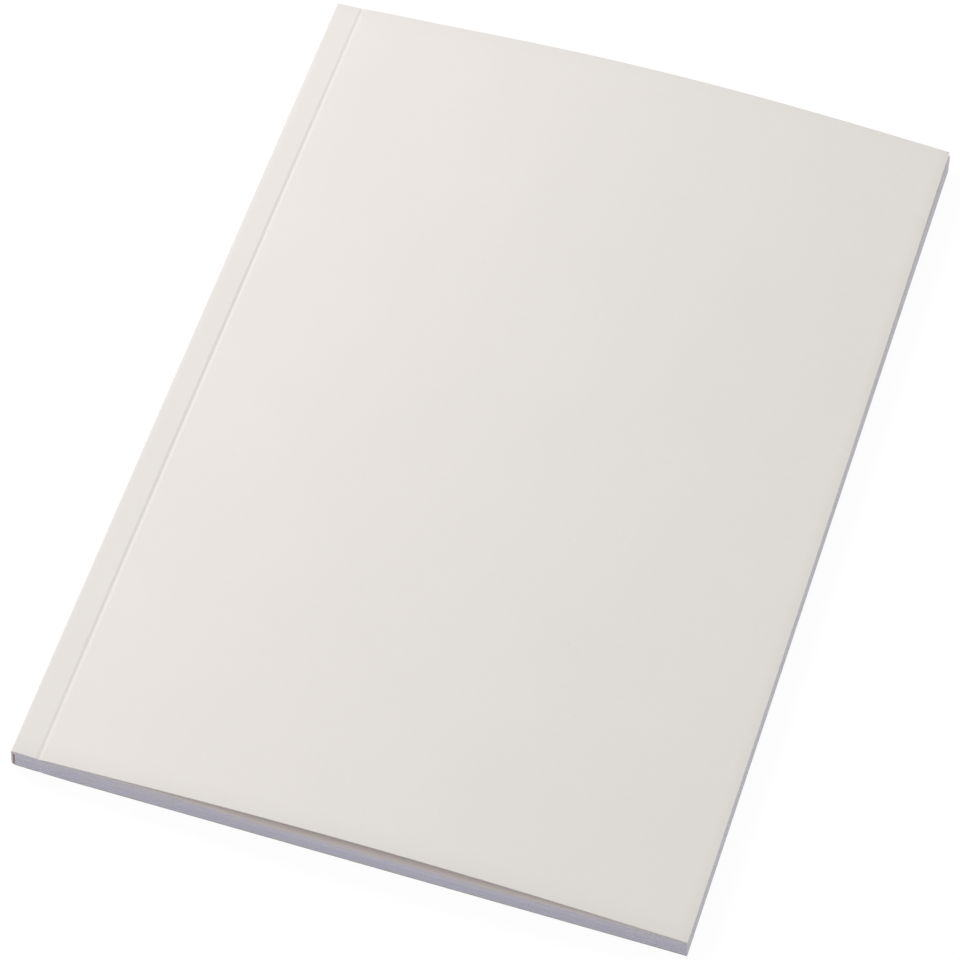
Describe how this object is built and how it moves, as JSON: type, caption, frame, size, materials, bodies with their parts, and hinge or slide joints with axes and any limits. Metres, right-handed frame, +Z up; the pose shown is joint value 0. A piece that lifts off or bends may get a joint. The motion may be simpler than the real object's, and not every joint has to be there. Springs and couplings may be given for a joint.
{
  "type": "softcover notebook",
  "caption": "Softcover notebook with a glued page block in a wrapped card cover, each cover panel hinged at a score beside the spine.",
  "frame": {"origin": "middle of the footprint, on the surface that the closed notebook lies on", "axes": "+X from the spine to the fore edge, +Y from the foot to the head, +Z up, from the back cover to the front cover"},
  "size_m": [0.1484, 0.21, 0.0105],
  "materials": {
    "cover_card": "smooth matte warm white card",
    "pages": "trimmed uncoated white paper",
    "binding_glue": "brown binding glue, dull"
  },
  "bodies": {
    "back_cover": {"back_cover": "cover_card"},
    "block": {"page_block": "pages", "spine_glue": "binding_glue", "spine_wrap": "cover_card"},
    "front_cover": {"front_cover": "cover_card"}
  },
  "joints": [
    {"name": "back_hinge", "type": "hinge", "parent": "back_cover", "child": "block", "pos_m": [-0.0678, 0, 0.00025], "axis": [0, -1, 0], "range_deg": [0, 170]},
    {"name": "front_hinge", "type": "hinge", "parent": "block", "child": "front_cover", "pos_m": [-0.0678, 0, 0.00615], "axis": [0, -1, 0], "range_deg": [0, 170]}
  ]
}
